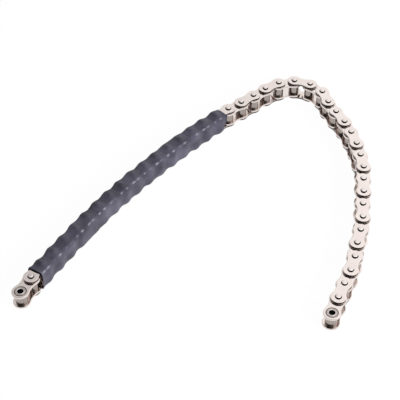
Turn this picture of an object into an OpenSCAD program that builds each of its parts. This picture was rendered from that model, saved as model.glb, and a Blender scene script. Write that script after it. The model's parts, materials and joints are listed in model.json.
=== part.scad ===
// Oil filter wrench: a length of half-inch roller chain, partly inside a rubber sleeve.
// The chain lies on its side, so every pin stands along Z. Lengths are in millimetres.
// The origin is the middle of the wrench's box, at the surface that it lies on.

/* [Chain] */
// Distance from one pin to the next
pitch = 12.7; // [12.5:0.1:13]
// Clear width between the two inner plates
inner_width = 7.85; // [7:0.05:8]
// Thickness of every plate
plate_t = 1.5; // [1.2:0.1:1.6]
// Gap between an inner plate and the outer plate beside it
plate_gap = 0.225; // [0.15:0.025:0.3]

/* [Plates] */
// Radius of an inner plate's round ends
inner_end_r = 5.8; // [5.5:0.1:6]
// Half the height of an inner plate at its waist
inner_waist = 4.6; // [4.2:0.1:5]
// Radius of an outer plate's round ends
outer_end_r = 5.2; // [5:0.1:5.4]
// Half the height of an outer plate at its waist
outer_waist = 3.9; // [3.6:0.1:4.4]

/* [Pins, bushes and rollers] */
// Diameter of a pin
pin_d = 3.96; // [3.8:0.02:4]
// Length of a pin over its two riveted ends
pin_len = 16.3; // [16:0.1:16.6]
// Height of the taper on each riveted end
pin_taper = 0.45; // [0.2:0.05:0.6]
// Outer diameter of a bush
bush_d = 5.6; // [5.3:0.05:5.7]
// Length that a bush stands proud of each inner plate
bush_proud = 0.1; // [0.05:0.05:0.15]
// Gap on the radius between a pin and its bush
pin_clearance = 0.03; // [0.02:0.01:0.05]
// Outer diameter of a roller
roller_d = 7.92; // [7.8:0.02:7.96]
// Length of a roller
roller_len = 7.6; // [6.8:0.1:7.6]
// Gap on the radius between a roller and its bush
roller_clearance = 0.06; // [0.04:0.01:0.08]

/* [Sleeve] */
// Width of the sleeve where it bulges over a pin
sleeve_width = 13; // [13:0.1:13.6]
// Height of the sleeve, across the chain
sleeve_height = 17.5; // [17.5:0.1:18.2]
// Half the width of the sleeve between two pins
sleeve_waist = 5.7; // [5.6:0.1:6]
// Thickness of the rubber
sleeve_wall = 0.5; // [0.4:0.05:0.55]
// Degrees that each joint inside the sleeve bends, either way
sleeve_bend = 17; // [8:1:20]

/* [Hidden] */
// A press fit is drawn this far open, so that its two pieces stay separate solids.
press_gap = 0.01;
// Links inside the sleeve: the first and the last, and where the sleeve starts and ends on them,
// as a part of the pitch.
sleeve_first = 2;
sleeve_last = 18;
sleeve_start = 0.38;
sleeve_end = 0.5;
// Corner radius of the sleeve's section, and the slack that a sleeved joint keeps at its limit.
sleeve_corner = 3.2;
sleeve_slack = 0.15;
// The lay at rest: direction of the first link, then runs of [joints, degrees that each one bends].
first_heading = 63;
rest_runs = [
    [1, -3.6],
    [3, -0.2],
    [1, -0.9],
    [5, -1.4],
    [1, -1.1],
    [3, -0.9],
    [1, -1.2],
    [1, -1.8],
    [1, -2.1],
    [1, -4.3],
    [1, 3],
    [1, 0.5],
    [1, -8],
    [1, -21],
    [1, -31.5],
    [2, -27.2],
    [1, 6.8],
    [1, 1.4],
    [1, -6.5],
    [2, -5.4],
    [1, -3],
    [1, -10.5],
    [1, 1],
    [1, -3],
    [1, 2.5],
    [1, -7],
    [1, -3.5],
    [1, 4],
    [2, -5.9],
    [1, 1],
    [1, 0.5]
];
bends = [for (run = rest_runs) for (i = [1:run[0]]) run[1]];
links = len(bends) + 1;

headings = [
    for (k = 0, a = first_heading; k < links; a = a + bends[min(k, links - 2)], k = k + 1) a
];
function step(k) = pitch * [cos(headings[k]), sin(headings[k])];
laid = [
    for (k = 0, p = [0, 0]; k <= links; p = p + step(min(k, links - 1)), k = k + 1) p
];
// The widest piece at a bare pin is an inner plate, so the box follows from the pins.
low = [min([for (p = laid) p.x]), min([for (p = laid) p.y])];
high = [max([for (p = laid) p.x]), max([for (p = laid) p.y])];
pins = [for (p = laid) p - (low + high) / 2];

mid_z = sleeve_height / 2;
pin_r = pin_d / 2;
bush_r = bush_d / 2;
bush_len = inner_width + 2 * plate_t + 2 * bush_proud;
inner_plate_z = inner_width / 2;
outer_plate_z = inner_plate_z + plate_t + plate_gap;
// Two sleeve pieces that meet at a pin need this much room between them to bend.
widest_rest_bend = 2.1;
sleeve_gap = sleeve_width * sin((sleeve_bend + widest_rest_bend) / 2) + sleeve_slack;
bore_depth_spare = 1;

steel = "#d9d3cf";
steel_dark = "#a9a6a8";
rubber = "#4b4a55";

function two(n) = str(n < 10 ? "0" : "", n);
function is_inner(k) = k % 2 == 1;
function link_name(k) = str(is_inner(k) ? "inner_link_" : "outer_link_", two(k));
function sleeve_name(k) = str("sleeve_", two(k));

$fn = 48;

// Puts a piece drawn from its first pin along +X where link k lies.
module at_link(k) {
    translate([pins[k - 1].x, pins[k - 1].y, mid_z])
        rotate([0, 0, headings[k - 1]])
            children();
}

module at_both_pins() {
    for (x = [0, pitch])
        translate([x, 0, 0])
            children();
}

// A figure of eight: two round ends, and a waist whose arcs are tangent to them.
module eight(end_r, waist) {
    waist_r = (pow(pitch / 2, 2) + pow(waist, 2) - pow(end_r, 2)) / (2 * (end_r - waist));
    waist_y = waist + waist_r;
    touch = end_r / (end_r + waist_r) * [pitch / 2, waist_y];
    at_both_pins()
        circle(end_r);
    difference() {
        translate([touch.x, -touch.y])
            square([pitch - 2 * touch.x, 2 * touch.y]);
        for (side = [-1, 1])
            translate([pitch / 2, side * waist_y])
                circle(waist_r, $fn = 96);
    }
}

module plate(end_r, waist, hole_r) {
    linear_extrude(plate_t)
        difference() {
            eight(end_r, waist);
            at_both_pins()
                circle(hole_r);
        }
}

// The two plates of a link, mirrored about the middle of the chain.
module plate_pair(z, end_r, waist, hole_r) {
    translate([0, 0, z])
        plate(end_r, waist, hole_r);
    translate([0, 0, -z - plate_t])
        plate(end_r, waist, hole_r);
}

module tube(outer_r, bore_r, len) {
    difference() {
        cylinder(r = outer_r, h = len, center = true);
        cylinder(r = bore_r, h = len + bore_depth_spare, center = true);
    }
}

module pin() {
    end = pin_len / 2;
    tip_r = pin_r - pin_taper;
    rotate_extrude()
        polygon([
            [0, -end],
            [tip_r, -end],
            [pin_r, pin_taper - end],
            [pin_r, end - pin_taper],
            [tip_r, end],
            [0, end]
        ]);
}

// Two plates pressed on two bushes, with a roller on each bush.
module inner_link() {
    color(steel)
        plate_pair(inner_plate_z, inner_end_r, inner_waist, bush_r + press_gap);
    color(steel_dark)
        at_both_pins() {
            tube(bush_r, pin_r + pin_clearance, bush_len);
            tube(roller_d / 2, bush_r + roller_clearance, roller_len);
        }
}

// Two plates riveted on two pins.
module outer_link() {
    color(steel)
        plate_pair(outer_plate_z, outer_end_r, outer_waist, pin_r + press_gap);
    color(steel_dark)
        at_both_pins()
            pin();
}

module link(k) {
    at_link(k)
        if (is_inner(k))
            inner_link();
        else
            outer_link();
}

// A rounded rectangle, w wide and h high, about the origin.
module rounded_section(w, h, corner) {
    for (x = [-1, 1], y = [-1, 1])
        translate([x * (w / 2 - corner), y * (h / 2 - corner)])
            circle(corner);
    square([w, h - 2 * corner], center = true);
    square([w - 2 * corner, h], center = true);
}

// A bar along the link with the sleeve's bulges and rounded section, shrunk all round by inset.
module sleeve_bar(inset, from, to) {
    intersection() {
        linear_extrude(sleeve_height - 2 * inset, center = true)
            eight(sleeve_width / 2 - inset, sleeve_waist - inset);
        translate([from, 0, 0])
            rotate([90, 0, 90])
                linear_extrude(to - from)
                    rounded_section(
                        sleeve_width - 2 * inset,
                        sleeve_height - 2 * inset,
                        sleeve_corner - inset
                    );
    }
}

// The stretch of sleeve over link k. It stops short of each pin that bends.
module sleeve(k) {
    from = k == sleeve_first ? sleeve_start * pitch : sleeve_gap / 2;
    to = k == sleeve_last ? sleeve_end * pitch : pitch - sleeve_gap / 2;
    color(rubber)
        at_link(k)
            difference() {
                sleeve_bar(0, from, to);
                sleeve_bar(sleeve_wall, from - bore_depth_spare, to + bore_depth_spare);
            }
}

for (k = [1:links])
    link(k);
for (k = [sleeve_first:sleeve_last])
    sleeve(k);
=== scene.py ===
# %% [markdown]
# # A chain wrench for oil filters
#
# The tool is a length of half-inch roller chain. Wrapped round a filter and pulled tight,
# the bare chain bites into the can. Part of it wears a rubber sleeve, so that a hand can
# hold it and so that it doesn't scratch. The chain lies on its side here, with every pin
# upright, which is how a chain falls on a bench.
#
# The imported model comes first. It fixes where each link lies and which way it turns, so
# every piece below is put where the frame says.

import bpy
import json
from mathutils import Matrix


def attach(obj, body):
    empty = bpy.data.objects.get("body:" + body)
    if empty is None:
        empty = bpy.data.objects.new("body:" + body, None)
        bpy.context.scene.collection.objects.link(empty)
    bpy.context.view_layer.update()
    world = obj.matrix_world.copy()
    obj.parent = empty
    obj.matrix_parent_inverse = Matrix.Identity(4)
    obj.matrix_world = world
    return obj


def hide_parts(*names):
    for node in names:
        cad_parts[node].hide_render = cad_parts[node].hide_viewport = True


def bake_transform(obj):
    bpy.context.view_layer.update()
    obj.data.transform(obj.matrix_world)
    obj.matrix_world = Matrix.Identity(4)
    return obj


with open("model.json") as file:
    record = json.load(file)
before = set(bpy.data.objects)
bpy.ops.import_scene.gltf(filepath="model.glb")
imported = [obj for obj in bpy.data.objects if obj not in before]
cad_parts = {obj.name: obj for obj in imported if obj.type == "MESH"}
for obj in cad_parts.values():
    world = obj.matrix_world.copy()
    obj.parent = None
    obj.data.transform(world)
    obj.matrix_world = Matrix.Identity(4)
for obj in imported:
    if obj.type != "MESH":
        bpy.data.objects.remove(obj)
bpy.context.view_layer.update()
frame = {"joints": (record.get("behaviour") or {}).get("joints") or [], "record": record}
MM = 0.001

# %% [markdown]
# ## Where the pins stand
#
# A roller chain is only its pins: each link spans two of them. The joints of the frame are
# the pins, and the two open end bushes are the mounts, so the list of pins is end bush,
# joints, end bush. Everything else is placed from this list. The height of the pins'
# centres is the middle plane of the chain.

# %% Read the pins
import math

import bpy
from mathutils import Matrix, Vector, noise

mounts = {mount["name"]: Vector(mount["pos_m"]) for mount in frame["record"]["mounts"]}
joints = [Vector(joint["pos_m"]) for joint in frame["joints"]]
pins = [mounts["left_end_bush"], *joints, mounts["right_end_bush"]]
PITCH = (pins[1] - pins[0]).length
LINKS = len(pins) - 1
print(f"{LINKS} links, {PITCH / MM:.2f} mm from pin to pin")


def heading(k):
    """Direction of link k, counted from 1, in the plane of the floor."""
    along = pins[k] - pins[k - 1]
    return math.atan2(along.y, along.x)


def link_place(k):
    """Takes a piece drawn from its first pin along +X to where link k lies."""
    return Matrix.Translation(pins[k - 1]) @ Matrix.Rotation(heading(k), 4, "Z")


def is_inner(k):
    """Odd links are inner links, and both ends of the chain are inner links."""
    return k % 2 == 1


# %% [markdown]
# ## Helpers for modelling
#
# An operator acts on everything that is selected, and the frame's own parts are selected
# after loading. So each step first deselects all, then picks the one piece it works on.
# Modifiers do the work that is tedious by hand, such as bevels and drilled holes, and each
# is applied straight away, so that a finished piece is a plain mesh.

# %% Selecting, applying and cutting
def pick(piece):
    """Makes one piece the only selected and active object."""
    bpy.ops.object.select_all(action="DESELECT")
    piece.select_set(True)
    bpy.context.view_layer.objects.active = piece


def modify(piece, kind, **settings):
    """Adds a modifier with these settings and applies it."""
    pick(piece)
    modifier = piece.modifiers.new(kind.lower(), kind)
    for name, value in settings.items():
        setattr(modifier, name, value)
    bpy.ops.object.modifier_apply(modifier=modifier.name)


def cut(piece, cutter):
    """Takes the cutter's shape out of the piece and deletes the cutter."""
    modify(piece, "BOOLEAN", object=cutter, operation="DIFFERENCE", solver="EXACT")
    bpy.data.objects.remove(cutter)


def deselect_faces(piece):
    """Leaves no face of the piece selected, so that some can be selected by their place."""
    pick(piece)
    bpy.ops.object.mode_set(mode="EDIT")
    bpy.ops.mesh.select_mode(type="FACE")
    bpy.ops.mesh.select_all(action="DESELECT")
    bpy.ops.object.mode_set(mode="OBJECT")


def smooth(piece):
    """Smooth shading that keeps the flat faces flat and rounds only the bevels."""
    pick(piece)
    bpy.ops.object.shade_smooth()
    modify(piece, "WEIGHTED_NORMAL", mode="FACE_AREA", weight=100)
    size = piece.dimensions / MM
    print(f"{piece.name}: {size.x:.2f} x {size.y:.2f} x {size.z:.2f} mm,",
          len(piece.data.polygons), "faces")


# %% [markdown]
# ## Plates
#
# A chain plate is stamped from strip: two round ends and a waist between them, shaped like
# an 8. Inner plates are a little bigger than outer ones. The outline could be joined from
# two discs and a bar, but the waist's arcs have to run into the ends without a corner, so
# the rim of one filled circle is moved onto the outline instead, by a formula for four
# tangent arcs. Extruding gives the strip's thickness. Tumbling after the press rounds the
# sheared rim, so the bevel comes before the holes, which get one of their own.

# %% The plate's outline
PLATE_T = 1.5 * MM
ROUND_STEPS = 28
WAIST_STEPS = 8


def arc(x, y, radius, start, end, steps):
    """Points on an arc from one angle to another."""
    turns = [start + (end - start) * i / steps for i in range(steps + 1)]
    return [(x + radius * math.cos(t), y + radius * math.sin(t)) for t in turns]


def eight_outline(end_r, waist):
    """The rim of a plate, anticlockwise, from two end circles and two waist arcs."""
    half = PITCH / 2
    waist_r = (half**2 + waist**2 - end_r**2) / (2 * (end_r - waist))
    waist_y = waist + waist_r
    touch = math.atan2(waist_y, half)
    return (
        arc(PITCH, 0, end_r, touch - math.pi, math.pi - touch, ROUND_STEPS)
        + arc(half, waist_y, waist_r, -touch, touch - math.pi, WAIST_STEPS)[1:-1]
        + arc(0, 0, end_r, touch, 2 * math.pi - touch, ROUND_STEPS)
        + arc(half, -waist_y, waist_r, math.pi - touch, touch, WAIST_STEPS)[1:-1]
    )


# %% Stamp, tumble and pierce a plate
RIM_BEVEL = 0.28 * MM
CIRCLE_SIDES = 40


def make_plate(name, z, end_r, waist, hole_r):
    """The upper plate of a link, with its underside at height z above the middle plane."""
    rim = eight_outline(end_r, waist)
    bpy.ops.object.select_all(action="DESELECT")
    bpy.ops.mesh.primitive_circle_add(vertices=len(rim), radius=end_r, fill_type="NGON")
    plate = bpy.context.object
    plate.name = name
    for vertex, (x, y) in zip(plate.data.vertices, rim):
        vertex.co = (x, y, z)
    bpy.ops.object.mode_set(mode="EDIT")
    bpy.ops.mesh.select_all(action="SELECT")
    bpy.ops.mesh.extrude_region_move(TRANSFORM_OT_translate={"value": (0, 0, PLATE_T)})
    bpy.ops.mesh.select_all(action="SELECT")
    bpy.ops.mesh.normals_make_consistent(inside=False)
    bpy.ops.object.mode_set(mode="OBJECT")
    modify(plate, "BEVEL", width=RIM_BEVEL, segments=3, angle_limit=math.radians(60))
    for x in (0, PITCH):
        bpy.ops.object.select_all(action="DESELECT")
        bpy.ops.mesh.primitive_cylinder_add(
            vertices=CIRCLE_SIDES, radius=hole_r, depth=4 * PLATE_T, location=(x, 0, z)
        )
        cut(plate, bpy.context.object)
    return plate


# %% Inner and outer plates
INNER_WIDTH = 7.85 * MM
PLATE_GAP = 0.225 * MM
INNER_END_R = 5.8 * MM
INNER_WAIST = 4.6 * MM
OUTER_END_R = 5.2 * MM
OUTER_WAIST = 3.9 * MM
PIN_R = 1.98 * MM
BUSH_R = 2.8 * MM
PRESS_GAP = 0.01 * MM
inner_z = INNER_WIDTH / 2
outer_z = inner_z + PLATE_T + PLATE_GAP

inner_plate = make_plate("inner_plate", inner_z, INNER_END_R, INNER_WAIST, BUSH_R + PRESS_GAP)
outer_plate = make_plate("outer_plate", outer_z, OUTER_END_R, OUTER_WAIST, PIN_R + PRESS_GAP)
print(f"The plates lie {inner_z / MM:.2f} and {outer_z / MM:.2f} mm above the middle plane")

# %% [markdown]
# Pressing the bush in leaves a ring round it on the outer face of every inner plate, and its
# groove is painted dark as shade.
# It shows at the two open ends of the chain. A torus sunk into the face cuts it. The holes
# get their bevels after it, and the outer plates the wider one, where the rivet spreads.

# %% The ring pressed round each bush
RING_R = 3.9 * MM
RING_WIRE_R = 0.32 * MM
RING_WIRE_SIDES = 12
RING_DEPTH = 0.28 * MM
HOLE_BEVEL = 0.1 * MM
OUTER_HOLE_BEVEL = 0.32 * MM

for x in (0, PITCH):
    bpy.ops.object.select_all(action="DESELECT")
    bpy.ops.mesh.primitive_torus_add(
        major_segments=CIRCLE_SIDES,
        minor_segments=RING_WIRE_SIDES,
        major_radius=RING_R,
        minor_radius=RING_WIRE_R,
        location=(x, 0, inner_z + PLATE_T + RING_WIRE_R - RING_DEPTH),
    )
    cut(inner_plate, bpy.context.object)

for plate, bevel in ((inner_plate, HOLE_BEVEL), (outer_plate, OUTER_HOLE_BEVEL)):
    modify(plate, "BEVEL", width=bevel, segments=2, angle_limit=math.radians(75))
    smooth(plate)

# %% [markdown]
# One plate carries several finishes. Cutting it into separate pieces would leave seams, so its
# faces are sorted by place instead, and each group takes another material slot. The second
# finish of an inner plate is the land between the ring and the bush, and the third is the ring
# itself, with painted shade in its groove. The second of an outer plate is its rim, which stands
# clear of the links beside it and is painted dark as shade, and the third is painted shade in
# the seam round each pin.

# %% Sort the plates' faces by finish
PRESSED_R = RING_R + RING_WIRE_R
LAND_R = RING_R - 0.8 * RING_WIRE_R
SEAM_R = PIN_R + PRESS_GAP + OUTER_HOLE_BEVEL + 0.02 * MM
RIM_TILT = 0.2


def within(face, plate, radius):
    """Whether all of a face lies closer than this to the centre of one of the two holes."""
    corners = [plate.data.vertices[v].co * Vector((1, 1, 0)) for v in face.vertices]
    return any(max((c - Vector((x, 0, 0))).length for c in corners) < radius for x in (0, PITCH))


# On an inner plate, the land round the bush takes the greyer press finish, and the ring's groove
# painted shade.
for face in inner_plate.data.polygons:
    if face.center.z > inner_z + PLATE_T / 2 and within(face, inner_plate, PRESSED_R):
        face.material_index = 1 if within(face, inner_plate, LAND_R) else 2

# On an outer plate, the seam round each pin and the upright rim take painted shade.
for face in outer_plate.data.polygons:
    if within(face, outer_plate, SEAM_R):
        face.material_index = 2
    elif abs(face.normal.z) < RIM_TILT:
        face.material_index = 1

for plate in (inner_plate, outer_plate):
    finishes = [face.material_index for face in plate.data.polygons]
    print(plate.name, "has", [finishes.count(i) for i in range(3)], "faces of each finish")

# %% [markdown]
# ## Bushes, rollers and pins
#
# Bushes and rollers are short tubes: a cylinder with no caps, given a wall by Solidify and
# rounded lips by a bevel. A pin is a solid rod. Riveting spreads its two ends into low domes, so
# its end faces are inset and pushed out a little after the rims are rounded. The sides of the
# rivet are painted dark as shade, and only its top keeps the bright plating.

# %% Tubes
FACING_IN = -0.3


def make_tube(name, outer_r, bore_r, length, lip):
    """A tube standing on the middle plane, with rounded lips. Its bore takes material 1."""
    bpy.ops.object.select_all(action="DESELECT")
    bpy.ops.mesh.primitive_cylinder_add(
        vertices=CIRCLE_SIDES, radius=outer_r, depth=length, end_fill_type="NOTHING"
    )
    tube = bpy.context.object
    tube.name = name
    modify(tube, "SOLIDIFY", thickness=outer_r - bore_r, offset=-1)
    modify(tube, "BEVEL", width=lip, segments=3, angle_limit=math.radians(60))
    smooth(tube)
    # The faces of the bore take material 1, which is painted shade once the tube is laid.
    for face in tube.data.polygons:
        middle = face.center.copy()
        middle.z = 0
        face.material_index = int(middle.dot(face.normal) < FACING_IN * middle.length)
    return tube


# %% The bush and the roller
BUSH_PROUD = 0.2 * MM
BUSH_LEN = INNER_WIDTH + 2 * PLATE_T + BUSH_PROUD
BUSH_PLAY = 0.03 * MM
BUSH_LIP = 0.32 * MM
ROLLER_R = 3.96 * MM
ROLLER_LEN = 7.6 * MM
ROLLER_PLAY = 0.06 * MM
ROLLER_LIP = 0.25 * MM

bush = make_tube("bush", BUSH_R, PIN_R + BUSH_PLAY, BUSH_LEN, BUSH_LIP)
roller = make_tube("roller", ROLLER_R, BUSH_R + ROLLER_PLAY, ROLLER_LEN, ROLLER_LIP)

# %% The riveted pin
PIN_LEN = 16.3 * MM
PIN_ROUND = 0.45 * MM
DOME = 0.06 * MM
DOME_STEPS = (0.7, 0.3)
DOME_INSET = 0.5 * MM
END_FACING = 0.99
SIDE_TILT = 0.6

bpy.ops.object.select_all(action="DESELECT")
bpy.ops.mesh.primitive_cylinder_add(
    vertices=CIRCLE_SIDES, radius=PIN_R, depth=PIN_LEN - 2 * DOME, end_fill_type="NGON"
)
pin = bpy.context.object
pin.name = "pin"
modify(pin, "BEVEL", width=PIN_ROUND, segments=4, angle_limit=math.radians(60))
for end in (-1, 1):
    deselect_faces(pin)
    for face in pin.data.polygons:
        face.select = face.normal.z * end > END_FACING
    bpy.ops.object.mode_set(mode="EDIT")
    for share in DOME_STEPS:
        bpy.ops.mesh.inset(thickness=DOME_INSET)
        bpy.ops.transform.translate(value=(0, 0, end * DOME * share))
    bpy.ops.object.mode_set(mode="OBJECT")
smooth(pin)
for face in pin.data.polygons:
    # The rivet's sides take material 1, which is painted shade.
    face.material_index = int(abs(face.normal.z) < SIDE_TILT)

# %% [markdown]
# ## Finishes
#
# The steel is plated with nickel, which is warmer than chrome and a little satin from the
# tumbling. One function turns the hex colours into the linear values that a shader wants,
# and one adds a node, sets it and links it. Every steel in the chain has the same recipe:
# clouding a few millimetres wide that shifts its colour, and a grain that breaks up how
# sharply it reflects. The real grain is finer, and is drawn 0.6 mm wide so that it shows.

# %% Helpers for materials
def colour(hex_code):
    """Linear RGBA of an sRGB hex colour."""
    parts = [int(hex_code[i : i + 2], 16) / 255 for i in (1, 3, 5)]
    linear = [c / 12.92 if c <= 0.04045 else ((c + 0.055) / 1.055) ** 2.4 for c in parts]
    return (*linear, 1)


def add(tree, kind, settings=None, **inputs):
    """Adds a node. Settings are its own, and inputs are values or links for its sockets."""
    node = tree.nodes.new(kind)
    for name, value in (settings or {}).items():
        setattr(node, name, value)
    for name, value in inputs.items():
        key = int(name[1:]) if name[1:].isdigit() else name.replace("_", " ")
        if isinstance(value, bpy.types.NodeSocket):
            tree.links.new(value, node.inputs[key])
        else:
            node.inputs[key].default_value = value
    return node


def new_material(name):
    """An empty material, its node tree and its output node."""
    material = bpy.data.materials.new(name)
    material.use_nodes = True
    tree = material.node_tree
    tree.nodes.clear()
    return material, tree, tree.nodes.new("ShaderNodeOutputMaterial")


# %% The recipe for steel
CLOUD_SIZE = 9 * MM
GRAIN_SIZE = 0.6 * MM
GRAIN_SWING = 0.3


def steel(name, base, wear_and_highlight, roughness):
    """Steel, plated or bare, with faint clouding between two colours and a fine grain."""
    material, tree, output = new_material(name)
    place = add(tree, "ShaderNodeTexCoord").outputs["Object"]
    cloud = add(tree, "ShaderNodeTexNoise", Vector=place, Scale=1 / CLOUD_SIZE, Detail=3.0)
    mix = add(
        tree, "ShaderNodeMix", {"data_type": "RGBA"}, _0=cloud.outputs["Fac"],
        _6=colour(base), _7=colour(wear_and_highlight),
    )
    grain = add(tree, "ShaderNodeTexNoise", Vector=place, Scale=1 / GRAIN_SIZE, Detail=4.0)
    rough = add(
        tree, "ShaderNodeMapRange", Value=grain.outputs["Fac"],
        To_Min=roughness * (1 - GRAIN_SWING), To_Max=roughness * (1 + GRAIN_SWING),
    )
    shader = add(
        tree, "ShaderNodeBsdfPrincipled", Base_Color=mix.outputs[2],
        Roughness=rough.outputs["Result"], Metallic=1.0,
    )
    tree.links.new(shader.outputs["BSDF"], output.inputs["Surface"])
    return material


# %% [markdown]
# The seven finishes of the chain differ only in colour and roughness. Nickel is bright and warm.
# The dark lines of a chain, in the bores, in the ring's groove, round the pins, under the outer
# plates and on the rivets' sides, are painted shade.

# %% The chain's finishes
# Bright and warm, almost a mirror, so the plates read as white metal.
plated = steel("nickel_plated_plate", "#f1e7e2", "#e3d7d2", 0.09)
# A touch whiter than the plates, so each rivet shows as a bright dot.
drawn = steel("nickel_plated_pin", "#f0e8e4", "#d9cfcb", 0.1)
# Bare ground steel, greyer than the plating, which sets the rollers back in the shade.
ground = steel("ground_roller_steel", "#b4a8a2", "#99908b", 0.18)
# A shade greyer than the plates, where the press has rubbed the plating thin.
pressed = steel("burnished_press_land", "#c8beb9", "#b7ada8", 0.2)
# Dull grey painted shade in the ring's groove, so the ring shows as a fine line.
groove_shade = steel("painted_shade_press_ring", "#756c69", "#645c59", 0.3)
# Nearly black painted shade, so a bore or the seam round a pin reads as a deep hole.
bore_and_seam_shade = steel("painted_shade_bore_steel", "#2e2a2b", "#1d1a1b", 0.45)
# Dark and rough painted shade, which draws a line under each outer plate and darkens the rivets'
# sides.
rim_and_rivet_shade = steel("painted_shade_rim_steel", "#211c1d", "#171314", 0.3)
for finish in (plated, drawn, ground, pressed, groove_shade, bore_and_seam_shade, rim_and_rivet_shade):
    print("finish:", finish.name)

# %% [markdown]
# ## Laying the chain
#
# Each master piece is copied to every link. A copy gets its own mesh, with its place in the
# mesh and its object at the origin, so that it can ride on its link's body and so that a
# pattern on Object coordinates differs from link to link. The lower plate is the upper one
# turned over about the link's long axis.

# %% Place the pieces of every link
TURNED_OVER = Matrix.Rotation(math.pi, 4, "X")
SECOND_PIN = Matrix.Translation((PITCH, 0, 0))
UNTURNED = Matrix.Identity(4)

INNER_SET = [
    ("plate_top", inner_plate, [plated, pressed, groove_shade], UNTURNED),
    ("plate_bottom", inner_plate, [plated, pressed, groove_shade], TURNED_OVER),
    ("bush_a", bush, [drawn, bore_and_seam_shade], UNTURNED),
    ("bush_b", bush, [drawn, bore_and_seam_shade], SECOND_PIN),
    ("roller_a", roller, [ground, bore_and_seam_shade], UNTURNED),
    ("roller_b", roller, [ground, bore_and_seam_shade], SECOND_PIN),
]
OUTER_SET = [
    ("plate_top", outer_plate, [plated, rim_and_rivet_shade, bore_and_seam_shade], UNTURNED),
    ("plate_bottom", outer_plate, [plated, rim_and_rivet_shade, bore_and_seam_shade], TURNED_OVER),
    ("pin_a", pin, [drawn, rim_and_rivet_shade], UNTURNED),
    ("pin_b", pin, [drawn, rim_and_rivet_shade], SECOND_PIN),
]


def lay_link(k):
    """Copies a link's pieces to where it lies."""
    node = f"inner_link_{k:02d}" if is_inner(k) else f"outer_link_{k:02d}"
    for part, master, materials, place in INNER_SET if is_inner(k) else OUTER_SET:
        piece = bpy.data.objects.new(f"link_{k:02d}_{part}", master.data.copy())
        bpy.context.scene.collection.objects.link(piece)
        piece.data.transform(link_place(k) @ place)
        for material in materials:
            piece.data.materials.append(material)
        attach(piece, f"link_{k:02d}")
        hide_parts(node)


for k in range(1, LINKS + 1):
    lay_link(k)
for master in (inner_plate, outer_plate, bush, roller, pin):
    bpy.data.objects.remove(master)

# %% [markdown]
# ## The rubber sleeve
#
# The sleeve is one tube of rubber, pulled tight over the chain, so the plates and pin heads
# show through it as soft bulges. It crosses 16 joints, and a piece can bend at only one, so
# it is made in 16 stretches, each from the middle of one link to the middle of the next.
#
# The left cut lies in link 2 and the right one in link 18. The right one isn't square: at
# its lower front edge it stops up to 3 mm short.

# %% Where the sleeve starts and ends
SLEEVE_FIRST = 2
SLEEVE_LAST = 18
SLEEVE_START = 0.38
SLEEVE_END = 0.5
RIGHT_CUT_TRAIL = 3.0 * MM

sleeve_pitches = SLEEVE_LAST - SLEEVE_FIRST + SLEEVE_END - SLEEVE_START
print(f"The sleeve is {sleeve_pitches * PITCH / MM:.0f} mm long")

# %% [markdown]
# Under the rubber, the section of the chain changes all the time. Its sides bulge where two
# round ends meet at a pin and fall back at the waists, and its top rises over each pin head.
# Three corners describe a quarter of that section: the edge of an inner plate, the edge of an
# outer plate and the rim of a pin head. Where the rubber is pulled tightest it bridges the
# waists. On an inner link nothing holds it up between the outer plates, so it dips.
#
# In this step and the next two, a height or width without MM is a number of mm.

# %% The chain's section under the rubber
BRIDGED_ON_BACK = (0.25, 13.4, 1.3)
BRIDGED_ON_FRONT = (0.15, 5.9, 1.2)
MOST_BRIDGED = 0.85
BULGE_POWER = 2.4
END_POWER = 1.6
HEAD_POWER = 4
INNER_TOP = 5.43
OUTER_TOP = 7.15
BEHIND_OUTER_END = 3.1 * MM
DIP = 0.4
DIP_REACH = 1.25
HEAD_EDGE = 1.55
HEAD_RISE = 1.12


def bridged(m, along, on_back):
    """How far the rubber spans the waists between the pins instead of following them."""
    everywhere, middle, reach = BRIDGED_ON_BACK if on_back else BRIDGED_ON_FRONT
    from_middle = (m + along / PITCH - middle) / reach
    return everywhere + (MOST_BRIDGED - everywhere) * math.exp(-(from_middle**4))


def half_width(narrow, wide, bulge):
    """Half the width of a plate in mm, from its narrow place to its wide one."""
    return (narrow + (wide - narrow) * bulge) / MM


def chain_corners(along, on_inner_link, bridge):
    """Corners of a quarter of the chain's section, in mm: inner plate, outer plate, pin head."""
    near = abs(math.cos(math.pi * along / PITCH))
    bulge = near**BULGE_POWER + (1 - near**BULGE_POWER) * bridge
    inner_corner = Vector((half_width(INNER_WAIST, INNER_END_R, bulge), INNER_TOP))
    if on_inner_link:
        to_middle = (PITCH / 2 - abs(along)) / MM
        top = OUTER_TOP - DIP * math.exp(-((to_middle / DIP_REACH) ** 2))
        past_end = max(near**END_POWER, bulge)
        outer_corner = Vector((half_width(BEHIND_OUTER_END, OUTER_END_R, past_end), top))
    else:
        top = OUTER_TOP
        outer_corner = Vector((half_width(OUTER_WAIST, OUTER_END_R, bulge), top))
    head_corner = Vector((HEAD_EDGE, top + HEAD_RISE * near**HEAD_POWER))
    return inner_corner, outer_corner, head_corner


for place, along in (("a pin", 0), ("a waist", PITCH / 2)):
    corners = chain_corners(along, False, 0)
    print("corners at", place, [tuple(round(x, 2) for x in corner) for corner in corners])

# %% [markdown]
# Rubber under tension takes the shape of a string pulled round the corners below it, so the
# skin is moved out to the flats that rest on those corners, a wall's thickness off them.
# Sculpting by hand would look much the same, but not be tight everywhere. A high power
# blends the flats, so that no crease shows where two of them meet.

# %% The tight skin
STAND_OFF = 0.42
ROUNDNESS = 20


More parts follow.
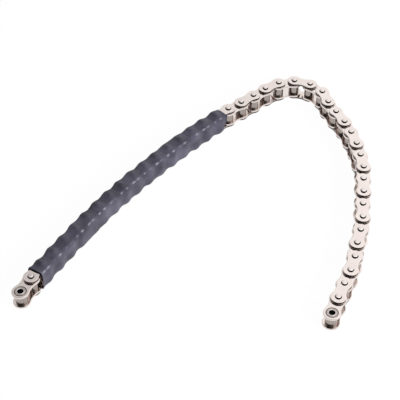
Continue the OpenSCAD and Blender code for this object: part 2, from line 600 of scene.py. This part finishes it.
def skin_radius(m, along, angle):
    """Distance from the chain's centre line to rubber pulled tight over the corners."""
    inner_corner, outer_corner, head_corner = chain_corners(
        along, is_inner(m if along < 0 else m + 1), bridged(m, along, math.cos(angle) > 0)
    )
    ray = Vector((abs(math.cos(angle)), abs(math.sin(angle))))
    flats = [(Vector((1, 0)), inner_corner), (Vector((0, 1)), head_corner)]
    for low, high in ((inner_corner, outer_corner), (outer_corner, head_corner)):
        rise = high - low
        flats.append((Vector((rise.y, -rise.x)).normalized(), high))
    total = sum(
        max(0, ray.dot(normal) / (corner.dot(normal) + STAND_OFF)) ** ROUNDNESS
        for normal, corner in flats
    )
    return total ** (-1 / ROUNDNESS) * MM


across, upwards = (2 * skin_radius(SLEEVE_FIRST, 0, angle) / MM for angle in (0, math.pi / 2))
print(f"The skin over a pin is {across:.1f} mm wide and {upwards:.1f} mm high")

# %% [markdown]
# Small things make it rubber and not a perfect shape: mouths that flare where the cut lets the
# tension go, a round imprint over each pin head, and slight unevenness from noise. Where the
# plates' round ends press through, spots on the ridges stand up a little, and their strength is
# kept, because the material paints a highlight on them later.

# %% Flares, imprints and raised spots with painted highlights
BACK_TOP = math.pi / 4
LEFT_FLARE = (0.5, 0.6, 2.6)
RIGHT_FLARE = (0.75, -0.95, 2.2)
RIGHT_FLARE_LEAD = 1
IMPRINT = 0.17
IMPRINT_R = 1.9
IMPRINT_EDGE = 7
UNEVENNESS = ((0.17, 5.5), (0.06, 2.2))
RIDGE_ANGLE = math.radians(36)
RIM_FROM_PIN = (2.1 * MM, 2.7 * MM)
GLINT_LENGTH = (1.6 * MM, 1.15 * MM)
GLINT_SHIFT = 2.7 * MM
GLINT_WIDTH = 0.06
GLINT_BUMP_HEIGHT = 0.12
GLINT_STRENGTH = (0.6, 1.2)
GLINT_SEED = (3.7, 8, 0.5)


def flared(mouth, back, distance):
    """Rise in mm at a mouth, from its rise in front, what the back adds, and its reach."""
    front, added_on_back, reach = mouth
    return (front + added_on_back * back) * math.exp(-((distance / reach) ** 2))


def rubber_relief(m, along, angle, radius):
    """Height in mm to add to the skin: flared mouths, imprints of pin heads and unevenness."""
    from_left = (along + (m - SLEEVE_FIRST + 1 - SLEEVE_START) * PITCH) / MM
    from_right = ((SLEEVE_LAST - 1 - m + SLEEVE_END) * PITCH - along) / MM
    back = 0.5 + 0.5 * math.cos(angle - BACK_TOP)
    flare = flared(LEFT_FLARE, back, from_left)
    flare += flared(RIGHT_FLARE, back, max(from_right + RIGHT_FLARE_LEAD, 0))
    from_pin = math.hypot(along, radius * math.cos(angle)) / MM
    imprint = IMPRINT / (1 + math.exp((from_pin - IMPRINT_R) * IMPRINT_EDGE))
    spot = Vector((along + m * PITCH, radius * math.cos(angle), radius * math.sin(angle))) / MM
    uneven = sum(height * noise.noise(spot / width) for height, width in UNEVENNESS)
    return flare + imprint + uneven


def ridge_bump_and_highlight(m, along, angle):
    """0 to 1: raised spots on the upper ridges, where the plates' round ends press through,
    which carry a painted highlight.
    """
    off_ridge = abs(abs(angle - math.pi / 2) - RIDGE_ANGLE)
    off_end = (abs(along + GLINT_SHIFT) - RIM_FROM_PIN[m % 2]) / GLINT_LENGTH[m % 2]
    step, side, level = GLINT_SEED
    seed = Vector((m * step, math.copysign(side, along + GLINT_SHIFT), level))
    strength = GLINT_STRENGTH[0] + GLINT_STRENGTH[1] * noise.noise(seed)
    spot = math.exp(-((off_ridge / GLINT_WIDTH) ** 2) - off_end**2)
    return spot * min(max(strength, 0), 1)


flare_height = rubber_relief(SLEEVE_FIRST, (SLEEVE_START - 1) * PITCH, BACK_TOP, OUTER_TOP * MM)
print(f"The left mouth stands {flare_height:.2f} mm proud at its back")

# %% [markdown]
# A stretch starts as a flat grid that is rolled into a tube, with its seam merged. A cylinder
# would do too, but a grid has an even mesh and two plain directions to work in. The tube
# bends with the chain: it turns smoothly from one link's heading to the next. Solidify then
# gives the wall, inwards, so that the outside stays where the formulas put it.

# %% Rolling a stretch
WALL = 0.4 * MM
RINGS_PER_PITCH = 40
ROUND = 128
MERGE = 0.001 * MM


def on_bend(m, along, angle, radius):
    """Where a point of the skin lies on a chain that turns smoothly at pin m."""
    turn = heading(m + 1) - heading(m)
    turn = (turn + math.pi) % (2 * math.pi) - math.pi
    t = min(max(along / PITCH + 0.5, 0), 1)
    share = t * t * (3 - 2 * t)
    spot = Vector((along, radius * math.cos(angle), radius * math.sin(angle)))
    return Matrix.Rotation(heading(m) + share * turn, 3, "Z") @ spot + pins[m]


def sleeve_stretch(m):
    """The stretch of sleeve round pin m, which is the joint of links m and m + 1."""
    first = SLEEVE_START * PITCH - PITCH if m == SLEEVE_FIRST else -PITCH / 2
    last = PITCH / 2 if m < SLEEVE_LAST - 1 else SLEEVE_END * PITCH
    rings = round((last - first) / PITCH * RINGS_PER_PITCH)
    bpy.ops.object.select_all(action="DESELECT")
    bpy.ops.mesh.primitive_grid_add(x_subdivisions=rings, y_subdivisions=ROUND, size=1)
    stretch = bpy.context.object
    stretch.name = f"sleeve_{m:02d}"
    # Each vertex stores how strongly its ridge spot carries the painted highlight.
    wear_and_highlight = stretch.data.attributes.new("wear_and_highlight", "FLOAT", "POINT")
    for vertex in stretch.data.vertices:
        angle = (vertex.co.y + 0.5) * 2 * math.pi
        reach = last
        if m == SLEEVE_LAST - 1:
            reach += RIGHT_CUT_TRAIL * min(math.cos(angle - BACK_TOP), 0) ** 3
        along = first + (vertex.co.x + 0.5) * (reach - first)
        radius = skin_radius(m, along, angle)
        bump_and_glint = ridge_bump_and_highlight(m, along, angle)
        radius += (rubber_relief(m, along, angle, radius) + GLINT_BUMP_HEIGHT * bump_and_glint) * MM
        wear_and_highlight.data[vertex.index].value = bump_and_glint
        vertex.co = on_bend(m, along, angle, radius)
    bpy.ops.object.mode_set(mode="EDIT")
    bpy.ops.mesh.select_all(action="SELECT")
    bpy.ops.mesh.remove_doubles(threshold=MERGE)
    bpy.ops.mesh.normals_make_consistent(inside=False)
    bpy.ops.object.mode_set(mode="OBJECT")
    modify(stretch, "SOLIDIFY", thickness=WALL, offset=-1)
    bpy.ops.object.shade_smooth_by_angle(angle=math.radians(50))
    return stretch


# %% [markdown]
# The rubber has lost its black: it is dark grey with a violet cast, and paler where a highlight
# is painted on the raised spots of the ridges. The paler spots come from the value that each
# vertex was given above, since they belong to the plates' ends and not to a pattern. Dust and
# fine pores break up the shine. They are finer than 0.9 mm on real rubber, and are drawn that
# wide so that they show.

# %% Sleeve rubber
BLOOM_SIZE = 14 * MM
BLOOM_CONTRAST = (0.36, 0.64)
DUST_SIZE = 0.9 * MM
DUST_ROUGHNESS = (0.36, 0.6)
PORE_DEPTH = 0.06 * MM


def rubber():
    """Moulded black rubber, gone grey, with soft clouding, painted highlights on the ridge spots
    and a fine dusty grain.
    """
    material, tree, output = new_material("sleeve_rubber")
    place = add(tree, "ShaderNodeTexCoord").outputs["Object"]
    cloud = add(tree, "ShaderNodeTexNoise", Vector=place, Scale=1 / BLOOM_SIZE, Detail=4.0)
    patches = add(
        tree, "ShaderNodeMapRange", Value=cloud.outputs["Fac"],
        From_Min=BLOOM_CONTRAST[0], From_Max=BLOOM_CONTRAST[1],
    )
    tone = add(
        tree, "ShaderNodeMix", {"data_type": "RGBA"}, _0=patches.outputs["Result"],
        _6=colour("#33303f"), _7=colour("#575365"),
    )
    # The ridge spots are mixed to pale grey: a painted highlight.
    wear_and_highlight = add(tree, "ShaderNodeAttribute", {"attribute_name": "wear_and_highlight"}).outputs["Fac"]
    tone = add(
        tree, "ShaderNodeMix", {"data_type": "RGBA"}, _0=wear_and_highlight, _6=tone.outputs[2],
        _7=colour("#a5a3b0"),
    )
    grain = add(tree, "ShaderNodeTexNoise", Vector=place, Scale=1 / DUST_SIZE, Detail=5.0)
    rough = add(
        tree, "ShaderNodeMapRange", Value=grain.outputs["Fac"],
        To_Min=DUST_ROUGHNESS[0], To_Max=DUST_ROUGHNESS[1],
    )
    bump = add(
        tree, "ShaderNodeBump", Height=grain.outputs["Fac"], Distance=PORE_DEPTH, Strength=0.5
    )
    shader = add(
        tree, "ShaderNodeBsdfPrincipled", Base_Color=tone.outputs[2],
        Roughness=rough.outputs["Result"], Normal=bump.outputs["Normal"],
    )
    tree.links.new(shader.outputs["BSDF"], output.inputs["Surface"])
    return material


# Dark grey and violet, half matt, so that only the ridges catch the light, and pale on the ridge
# spots as a painted highlight.
sleeve_skin = rubber()
print("finish:", sleeve_skin.name)

# %% [markdown]
# Each stretch is blended across its own joint, from the middle of one link to the middle of the
# next, so neighbours meet on the same rigid link.

# %% Pull the sleeve over the chain
for m in range(SLEEVE_FIRST, SLEEVE_LAST):
    stretch = sleeve_stretch(m)
    stretch.data.materials.append(sleeve_skin)
    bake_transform(stretch)
    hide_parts(f"sleeve_{m + 1:02d}")
    if m == SLEEVE_FIRST:
        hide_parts(f"sleeve_{m:02d}")
    print(stretch.name, "has", len(stretch.data.polygons), "faces")

# %% [markdown]
# ## Floor, light and camera
#
# The floor is plain and white. The camera, and the metal's reflections, see it as glowing
# white paper. The camera sees a little of the matt paper too, so the lamps still lay a soft
# shadow on it. More light would make it as white, but would bleach the chain as well.

# %% Floor
FLOOR_SIZE = 20
GLOW_SHARE = 0.94
GLOW_SEEN = 1.03
GLOW_IN_METAL = 0.95

bpy.ops.object.select_all(action="DESELECT")
bpy.ops.mesh.primitive_plane_add(size=FLOOR_SIZE)
floor = bpy.context.object
floor.name = "floor"
paper, tree, output = new_material("white_paper")
rays = add(tree, "ShaderNodeLightPath").outputs
mirrored = add(
    tree, "ShaderNodeMath", {"operation": "MAXIMUM"}, _0=rays["Is Glossy Ray"],
    _1=rays["Is Transmission Ray"],
)
share = add(
    tree, "ShaderNodeMath", {"operation": "MULTIPLY_ADD"}, _0=rays["Is Camera Ray"],
    _1=GLOW_SHARE, _2=mirrored.outputs[0],
)
matt = add(tree, "ShaderNodeBsdfDiffuse", Color=colour("#eeeeee"))
strength = add(
    tree, "ShaderNodeMix", {"data_type": "FLOAT"}, _0=rays["Is Camera Ray"],
    _2=GLOW_IN_METAL, _3=GLOW_SEEN,
)
glow = add(tree, "ShaderNodeEmission", Color=colour("#ffffff"), Strength=strength.outputs[0])
mixed = add(
    tree, "ShaderNodeMixShader", _0=share.outputs[0], _1=matt.outputs[0], _2=glow.outputs[0]
)
tree.links.new(mixed.outputs[0], output.inputs["Surface"])
floor.data.materials.append(paper)
print(f"{floor.name}: {FLOOR_SIZE} m square, glow {GLOW_SEEN} seen and {GLOW_IN_METAL} mirrored")

# %% [markdown]
# Polished metal shows only what is round it. A white room would wash the chain out, so the
# room is dark low down in front and to the left, which draws the black line round each rivet
# and under each plate. It is brightest overhead, which whitens the bevels. The floor and the
# rubber are lit by a plain soft sky, and the camera sees plain white.

# %% World
DARK_SIDE = Vector((-0.35, -0.94, 0))
DARK_EDGE = (0.12, 0.38)
DARKEST = 0.08
LEFT_TO_RIGHT = (-0.3, 0.16)
LEFT_TO_RIGHT_LIGHT = (0.48, 1.12)
OVERHEAD_EDGE = (0.78, 0.96)
OVERHEAD_LIGHT = 1.6
SOFT_SKY = 0.35

world = bpy.data.worlds.new("studio")
bpy.context.scene.world = world
world.use_nodes = True
tree = world.node_tree
tree.nodes.clear()
output = tree.nodes.new("ShaderNodeOutputWorld")
direction = add(tree, "ShaderNodeTexCoord").outputs["Generated"]
toward = add(
    tree, "ShaderNodeVectorMath", {"operation": "DOT_PRODUCT"}, _0=direction, _1=DARK_SIDE
)
flag = add(
    tree, "ShaderNodeMapRange", {"interpolation_type": "SMOOTHSTEP"},
    Value=toward.outputs["Value"], From_Min=DARK_EDGE[0], From_Max=DARK_EDGE[1],
    To_Min=1.0, To_Max=DARKEST,
)
compass = add(tree, "ShaderNodeSeparateXYZ", Vector=direction)
falloff = add(
    tree, "ShaderNodeMapRange", Value=compass.outputs["X"],
    From_Min=LEFT_TO_RIGHT[0], From_Max=LEFT_TO_RIGHT[1],
    To_Min=LEFT_TO_RIGHT_LIGHT[0], To_Max=LEFT_TO_RIGHT_LIGHT[1],
)
overhead = add(
    tree, "ShaderNodeMapRange", {"interpolation_type": "SMOOTHSTEP"},
    Value=compass.outputs["Z"], From_Min=OVERHEAD_EDGE[0], From_Max=OVERHEAD_EDGE[1],
    To_Min=1.0, To_Max=OVERHEAD_LIGHT,
)
studio = add(
    tree, "ShaderNodeMath", {"operation": "MULTIPLY"}, _0=flag.outputs["Result"],
    _1=falloff.outputs["Result"],
)
studio = add(
    tree, "ShaderNodeMath", {"operation": "MULTIPLY"}, _0=studio.outputs[0],
    _1=overhead.outputs["Result"],
)
print("The room is darkest towards", tuple(round(x, 2) for x in DARK_SIDE))

# %% What the camera and the rubber see of it
rays = add(tree, "ShaderNodeLightPath").outputs
paper_or_studio = add(
    tree, "ShaderNodeMix", {"data_type": "FLOAT"}, _0=rays["Is Camera Ray"],
    _2=studio.outputs[0], _3=1.0,
)
seen_sky = add(
    tree, "ShaderNodeBackground", Color=colour("#ffffff"), Strength=paper_or_studio.outputs[0]
)
lit_sky = add(tree, "ShaderNodeBackground", Color=colour("#ffffff"), Strength=SOFT_SKY)
direct = add(
    tree, "ShaderNodeMath", {"operation": "MAXIMUM"}, _0=rays["Is Camera Ray"],
    _1=rays["Is Glossy Ray"],
)
direct = add(
    tree, "ShaderNodeMath", {"operation": "MAXIMUM"}, _0=direct.outputs[0],
    _1=rays["Is Transmission Ray"],
)
mixed = add(
    tree, "ShaderNodeMixShader", _0=direct.outputs[0], _1=lit_sky.outputs[0],
    _2=seen_sky.outputs[0],
)
tree.links.new(mixed.outputs[0], output.inputs["Surface"])
print(f"{world.name}: {len(tree.nodes)} nodes, sky at {SOFT_SKY}")

# %% [markdown]
# One soft box stands low at the front right. It lifts the side of the sleeve that faces it
# and gives the shadow a direction. The metal doesn't mirror it.

# %% Lamps
LAMP_DISTANCE = 0.9


def soft_box(name, azimuth, elevation, size, power):
    """A square soft box that looks at the middle of the object from an angle."""
    a, e = math.radians(azimuth), math.radians(elevation)
    towards = Vector((math.cos(a) * math.cos(e), math.sin(a) * math.cos(e), math.sin(e)))
    bpy.ops.object.select_all(action="DESELECT")
    bpy.ops.object.light_add(type="AREA", location=towards * LAMP_DISTANCE)
    lamp = bpy.context.object
    lamp.name = name
    lamp.data.shape = "SQUARE"
    lamp.data.size = size
    lamp.data.energy = power
    lamp.rotation_euler = towards.to_track_quat("Z", "Y").to_euler()
    return lamp


key = soft_box("key", azimuth=-38, elevation=25, size=0.5, power=8.5)
key.visible_glossy = False
print(f"{key.name}: {key.data.energy} W, {LAMP_DISTANCE} m away")

# %% [markdown]
# The camera looks down at about 45 degrees from the front, from far enough away that the
# chain keeps its shape, and with a long lens to match.

# %% Camera
CAMERA_AT = Vector((-0.8, -571.3, 562.2)) * MM
LOOK_DOWN = math.radians(44.57)
LENS = 100.7
SENSOR = 36
SEES_TO = 100

bpy.ops.object.select_all(action="DESELECT")
bpy.ops.object.camera_add(location=CAMERA_AT, rotation=(math.pi / 2 - LOOK_DOWN, 0, 0))
camera = bpy.context.object
camera.name = "camera"
camera.data.lens = LENS
camera.data.sensor_width = SENSOR
camera.data.clip_end = SEES_TO
bpy.context.scene.camera = camera
bpy.context.scene.view_settings.view_transform = "Standard"
print(f"{camera.name}: {CAMERA_AT.length:.2f} m away, {LENS} mm lens")

# %% [markdown]
# Looks mustn't change the size of the object. The last cell only loads json.

# %% Load json
import json
